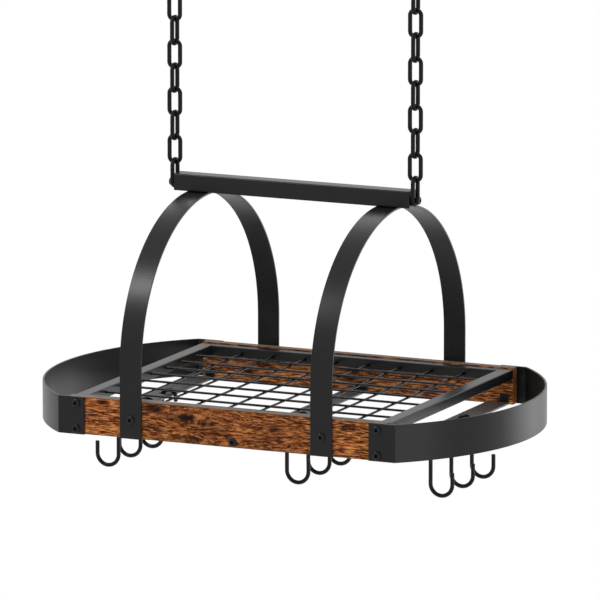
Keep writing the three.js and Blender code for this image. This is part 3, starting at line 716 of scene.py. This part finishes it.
half_length, half_shelf = BOARD_LENGTH / 2, BOARD_INNER - SEAT_GAP
corner, corner_steps = 1.3, 4
profile = []  # (share from the outer face to the inner one, offset in mm, height)
for share, along, z, start in ((0, 1, 1, 90), (0, 1, -1, 180), (1, -1, -1, 270), (1, -1, 1, 0)):
    for k in range(corner_steps + 1):
        a = math.radians(start + 90 * k / corner_steps)
        profile.append((share, along * corner + corner * math.cos(a),
                        z * (RAIL_HEIGHT / 2 - corner) + corner * math.sin(a)))


def frame_ring(sx, sy):
    """The rails' section on the mitre of one corner."""
    return [Vector((sx * (half_length - share * END_RAIL - offset),
                    sy * (half_shelf - share * SIDE_RAIL - offset), RAIL_MIDDLE + z))
            for share, offset, z in profile]


corners = [frame_ring(-1, -1), frame_ring(1, -1), frame_ring(1, 1), frame_ring(-1, 1)]
rings = []
for a, b in zip(corners, corners[1:] + corners[:1]):
    rings += [[p.lerp(q, t) for p, q in zip(a, b)] for t in (0, 0.004, 0.25, 0.5, 0.75, 0.996)]
bm = bmesh.new()
add_loft(bm, rings, closed=True)
finish_piece("shelf_frame_fine", bm, ["shelf_frame"], "black_steel", (0, 0, RACK_Z))

# ---- Shelf grid: round wires, a weld at each crossing and at each end ----

bm = bmesh.new()
layer = (GRID_WIRE - GRID_WELD) / 2
reach = {"x": half_length - END_RAIL, "y": half_shelf - SIDE_RAIL}
long_y = [(i - (LONG_WIRES - 1) / 2) * GRID_PITCH_Y for i in range(LONG_WIRES)]
cross_x = [(i - (CROSS_WIRES - 1) / 2) * GRID_PITCH_X for i in range(CROSS_WIRES)]
# stations of a wire, as shares of its half length, and the flare of the welds at its ends
stops = (-1, -0.996, -0.991, -0.98, -0.5, 0, 0.5, 0.98, 0.991, 0.996, 1)
flare = (1.5, 1.3, 1.08, 1, 1, 1, 1, 1, 1.08, 1.3, 1.5)
# (radius, height) of the weld nugget at a crossing, as shares of the two sizes below
nugget_shape = ((0.1, -1), (0.7, -0.75), (1, -0.1), (1, 0.1), (0.7, 0.75), (0.1, 1))
nugget_radius, nugget_height = 2.0, 1.1


def add_rod(along, start, half_run, sides=14):
    side = Z.cross(along)
    rings = []
    for s, f in zip(stops, flare):
        r = GRID_WIRE / 2 * f
        centre = start + along * half_run * s
        rings.append([centre + side * r * math.cos(a) + Z * r * math.sin(a)
                      for a in (2 * math.pi * j / sides for j in range(sides))])
    add_loft(bm, rings)


for y in long_y:
    add_rod(X, Vector((0, y, RAIL_MIDDLE + layer)), reach["x"])
for x in cross_x:
    add_rod(Y, Vector((x, 0, RAIL_MIDDLE - layer)), reach["y"])
nugget = [(r * nugget_radius, h * nugget_height) for r, h in nugget_shape]
for x in cross_x:
    for y in long_y:
        add_lathe(bm, nugget, Vector((x, y, RAIL_MIDDLE)), Z, 12)
finish_piece("shelf_grid_fine", bm, ["shelf_grid"], "black_steel", (0, 0, RACK_Z), material=WIRE,
             weighted=False, sharp=50)

# ---- Crossbars: a flat bar with hook holes, and a bent-up tab at each end ----


def plate_mesh(outline, holes, thickness, edge, hole_sides=40):
    """Flat plate with rounded edges from an outline and round holes (x, y, radius), as a mesh in metres."""
    curve = bpy.data.curves.new("plate", "CURVE")
    curve.dimensions, curve.fill_mode = "2D", "BOTH"
    curve.extrude = (thickness / 2 - edge) * MM
    curve.bevel_depth, curve.bevel_resolution = edge * MM, 2
    loops = [outline]
    for cx, cy, r in holes:
        loops.append([(cx + (r + edge) * math.cos(a), cy + (r + edge) * math.sin(a))
                      for a in (2 * math.pi * k / hole_sides for k in range(hole_sides))])
    for loop in loops:
        spline = curve.splines.new("POLY")
        spline.points.add(len(loop) - 1)
        for point, (u, v) in zip(spline.points, loop):
            point.co = (u * MM, v * MM, 0, 1)
        spline.use_cyclic_u = True
    holder = bpy.data.objects.new("plate", curve)
    bpy.context.scene.collection.objects.link(holder)
    bpy.context.view_layer.update()
    mesh = bpy.data.meshes.new_from_object(holder.evaluated_get(bpy.context.evaluated_depsgraph_get()))
    bpy.data.objects.remove(holder)
    bpy.data.curves.remove(curve)
    return mesh


bar_end = BOARD_INNER - SEAT_GAP
bend_from = bar_end - TAB_BEND
hole_y = [(i - (HOOKS_PER_BAR - 1) / 2) * HOOK_SPACING for i in range(HOOKS_PER_BAR)]
# The outline lies one edge radius inside the plate's faces, as the bevel adds it.
side_x, end_y = CROSSBAR_WIDTH / 2 - CROSSBAR_EDGE, bar_end - CROSSBAR_EDGE
notch_x, notch_y = TAB_CENTRE - TAB_WIDTH / 2 - CROSSBAR_EDGE, bend_from - CROSSBAR_EDGE
outline = [(-side_x, -end_y), (notch_x, -end_y), (notch_x, -notch_y), (side_x, -notch_y),
           (side_x, notch_y), (notch_x, notch_y), (notch_x, end_y), (-side_x, end_y)]
holes = [(0, y, HOOK_HOLE / 2) for y in hole_y]
plate = plate_mesh(outline, holes, CROSSBAR_THICKNESS, CROSSBAR_EDGE)
middle = CROSSBAR_THICKNESS / 2
bend = TAB_BEND - middle
for bar, x in CROSSBAR_X.items():
    bm = bmesh.new()
    bm.from_mesh(plate)
    bmesh.ops.remove_doubles(bm, verts=bm.verts, dist=1e-6)
    bm.transform(Matrix.Translation((0, 0, middle * MM)))
    bm.transform(Matrix.Scale(1 / MM, 4))
    for _, face in ENDS:
        path = [Vector((0, face * (bend_from - 0.2), middle))]
        path += [Vector((0, face * (bend_from + bend * math.sin(a)), TAB_BEND - bend * math.cos(a)))
                 for a in (math.pi / 2 * k / 8 for k in range(9))]
        path += [Vector((0, face * (bar_end - middle), TAB_BEND + (TAB_HEIGHT - TAB_BEND) * k / 4))
                 for k in range(1, 5)]
        add_strip(bm, [p + X * TAB_CENTRE for p in path], X, TAB_WIDTH, CROSSBAR_THICKNESS, CROSSBAR_EDGE)
    piece = finish_piece(f"crossbar_{bar}_fine", bm, [f"crossbar_{bar}"], "black_steel", (x, 0, RACK_Z),
                         material=CROSSBAR_LIT_COAT)
    # The flat plate has the lighter coat, painted light for the light on its top; the tabs, close to the
    # boards, keep the plain black coat.
    piece.data.materials.append(STEEL)
    for face in piece.data.polygons:
        if face.center.z > (RACK_Z + CROSSBAR_THICKNESS + 0.2) * MM:
            face.material_index = 1

# ---- S-hooks ----

path = [(-POT_TOP, -POT_TOP_TIP), (-POT_TOP, -POT_TOP_TIP * 0.5)]
path += arc_points(0, 0, POT_TOP, 180, 0, 26)
path += [(POT_TOP, -POT_SHANK * k / 8) for k in range(1, 8)]
path += arc_points(POT_TOP + POT_BOTTOM, -POT_SHANK, POT_BOTTOM, 180, 360, 32)
path += [(POT_TOP + 2 * POT_BOTTOM, -POT_SHANK + POT_BOTTOM_TIP * k / 3) for k in range(1, 4)]
hook_path = [Vector((u, 0, v)) for u, v in path]
for bar, x in CROSSBAR_X.items():
    for i, y in enumerate(hole_y):
        bm = bmesh.new()
        add_wire(bm, hook_path, POT_WIRE / 2, Y, dome=0.35, sides=18)
        finish_piece(f"pot_hook_{bar}_{i + 1}_fine", bm, [f"pot_hook_{bar}_{i + 1}"], "black_steel",
                     (x + LAND_CENTRE, y, RACK_Z + HOOK_BEND_Z), math.pi if bar == "left" else 0,
                     material=WIRE)

# ---- Screws ----


def screw_profile(length):
    """(radius, height) entries of a dome-head screw; the head's underside is at height 0."""
    shank, head = SCREW_SHANK / 2, SCREW_HEAD / 2
    profile = [(0.15, -length), (shank - 0.7, -length), (shank - 0.1, -length + 0.6)]
    turns = int((length - 3) / SCREW_PITCH)
    profile += thread_profile(shank, 0.32, -length + 0.9, SCREW_PITCH, turns, 0.3, 0.45, 0.7)
    profile += [(shank, -0.8), (shank, 0), (head - 0.25, 0), (head, 0.2), (head, 0.85)]
    dome_from, dome_rise = 0.9, SCREW_HEAD_HEIGHT - 0.9
    stop = math.acos(2.75 / head)  # the dome ends 2.75 mm from the axis, at the recess
    profile += [(head * math.cos(a), dome_from + dome_rise * math.sin(a) / math.sin(stop))
                for a in (stop * k / 9 for k in range(1, 10))]
    flat = SCREW_SOCKET / 2
    floor = SCREW_HEAD_HEIGHT - SOCKET_DEPTH
    return profile + [(flat + 0.2, SCREW_HEAD_HEIGHT - 0.05, "hex"), (flat, SCREW_HEAD_HEIGHT - 0.25, "hex"),
                      (flat, floor + 0.2, "hex"), (flat * 0.6, floor), (0.1, floor)]


def add_screw(name, place, axis, length):
    bm = bmesh.new()
    add_lathe(bm, screw_profile(length), Vector(place), axis, 36)
    piece = finish_piece(f"{name}_fine", bm, [name], "black_steel", (0, 0, RACK_Z), material=OXIDE)
    darken_socket(piece, Vector(place), axis, SCREW_HEAD_HEIGHT - SOCKET_DEPTH, SCREW_SOCKET)


through_board = SEAT_GAP + BOARD_THICKNESS + SEAT_GAP + THREAD_PROUD
band_stack = BAND_THICKNESS + SEAT_GAP
arch_stack = ARCH_THICKNESS + 2 * SEAT_GAP
for end, face in ENDS:
    on_band, on_arch = face * (HALF_DEPTH + band_stack + SEAT_GAP), face * (HALF_DEPTH + arch_stack)
    for side, sign in SIDES:
        name = f"band_screw_{side}_{end}"
        add_screw(f"{name}_upper", (sign * SCREW_X, on_band, RAIL_MIDDLE), face * Y,
                  band_stack + through_board + RAIL_WALL)
        add_screw(f"{name}_lower", (sign * SCREW_X, on_band, LOW_SCREW), face * Y,
                  band_stack + through_board + CROSSBAR_THICKNESS)
        add_screw(f"arch_foot_screw_{side}_{end}", (sign * ARCH_SPACING / 2, on_arch, BOARD_HEIGHT / 2),
                  face * Y, arch_stack + SCREW_BITE)
    add_screw(f"crossbar_screw_{end}", (TAB_CENTRE, face * (HALF_DEPTH + SEAT_GAP), LOW_SCREW), face * Y,
              through_board + CROSSBAR_THICKNESS)
for side, sign in SIDES:
    add_screw(f"arch_crown_screw_{side}", (sign * ARCH_SPACING / 2, 0, ARCH_RISE - ARCH_THICKNESS - SEAT_GAP),
              -Z, arch_stack + BAR_WALL + THREAD_PROUD)

# ---- Floor, light and camera ----

WORLD_LEVEL, BACKGROUND_LEVEL = 0.62, 1.0  # on the object, and as the camera and the metal see it
FLOOR_Z, FLOOR_RADIUS, FLOOR_GLOW = -2.35, 1.6, 0.45
WHITE = (1, 1, 1, 1)


def background_rays(tree):
    """1 for the rays that see the background (camera, glossy and transmission), and 0 for all others."""
    ray = tree.nodes.new("ShaderNodeLightPath")
    seen = ray.outputs["Is Camera Ray"]
    for kind in ("Is Glossy Ray", "Is Transmission Ray"):
        total = tree.nodes.new("ShaderNodeMath")
        total.operation, total.use_clamp = "ADD", True
        tree.links.new(seen, total.inputs[0])
        tree.links.new(ray.outputs[kind], total.inputs[1])
        seen = total.outputs[0]
    return seen


world = bpy.data.worlds.new("studio")
bpy.context.scene.world = world
world.use_nodes = True
tree = world.node_tree
tree.nodes.clear()
blend = tree.nodes.new("ShaderNodeMixShader")
tree.links.new(background_rays(tree), blend.inputs[0])
for socket, level in ((blend.inputs[1], WORLD_LEVEL), (blend.inputs[2], BACKGROUND_LEVEL)):
    background = tree.nodes.new("ShaderNodeBackground")
    background.inputs["Color"].default_value = WHITE
    background.inputs["Strength"].default_value = level
    tree.links.new(background.outputs[0], socket)
tree.links.new(blend.outputs[0], tree.nodes.new("ShaderNodeOutputWorld").inputs[0])

n = Nodes("pale_floor")
n.shader.inputs["Base Color"].default_value = (0.86, 0.86, 0.86, 1)
n.shader.inputs["Roughness"].default_value = 0.8
n.put(n.shader.inputs["Emission Color"], WHITE)
n.put(n.shader.inputs["Emission Strength"], n.math("MULTIPLY", background_rays(n.tree), FLOOR_GLOW))
bm = bmesh.new()
bmesh.ops.create_circle(bm, cap_ends=True, segments=96, radius=FLOOR_RADIUS)
floor_mesh = bpy.data.meshes.new("floor")
bm.to_mesh(floor_mesh)
bm.free()
floor_mesh.materials.append(n.material)
floor = bpy.data.objects.new("floor", floor_mesh)
floor.location.z = FLOOR_Z
bpy.context.scene.collection.objects.link(floor)

LAMP_AIM = Vector((0, 0, -0.5))


def softbox(name, direction, distance, width, height, power):
    """A rectangular area lamp that looks at LAMP_AIM; metres and watts."""
    data = bpy.data.lights.new(name, "AREA")
    data.shape, data.size, data.size_y, data.energy = "RECTANGLE", width, height, power
    lamp = bpy.data.objects.new(name, data)
    way = Vector(direction).normalized()
    lamp.location = LAMP_AIM + way * distance
    lamp.rotation_mode = "QUATERNION"
    lamp.rotation_quaternion = way.to_track_quat("Z", "Y")
    bpy.context.scene.collection.objects.link(lamp)


softbox("key", (-0.510, -0.615, 0.70), 1.38, 0.22, 0.22, 6.5)
softbox("back", (-0.41, 0.67, 0.62), 2.6, 0.9, 0.9, 5)
softbox("side", (0.55, 0.80, -0.05), 3.0, 1.6, 1.4, 16)
softbox("fill", (0.88, -0.41, -0.18), 3.2, 1.8, 1.8, 15)

# The camera was fitted to the photo: its place in metres, direction in degrees, lens and sensor in mm.
CAMERA_PLACE, CAMERA_AZIMUTH, CAMERA_ELEVATION = (5.58593, -12.19328, 2.01521), 24.579, 10.632
CAMERA_LENS, CAMERA_SENSOR, CAMERA_CLIP = 566.0, 36, (0.5, 60)

camera = bpy.data.objects.new("camera", bpy.data.cameras.new("camera"))
azimuth, elevation = math.radians(CAMERA_AZIMUTH), math.radians(CAMERA_ELEVATION)
level = math.cos(elevation)
look = Vector((-math.sin(azimuth) * level, math.cos(azimuth) * level, -math.sin(elevation)))
camera.location = CAMERA_PLACE
camera.rotation_mode = "QUATERNION"
camera.rotation_quaternion = look.to_track_quat("-Z", "Y")
camera.data.lens, camera.data.sensor_width = CAMERA_LENS, CAMERA_SENSOR
camera.data.clip_start, camera.data.clip_end = CAMERA_CLIP
bpy.context.scene.collection.objects.link(camera)
bpy.context.scene.camera = camera
bpy.context.scene.view_settings.view_transform = "Standard"
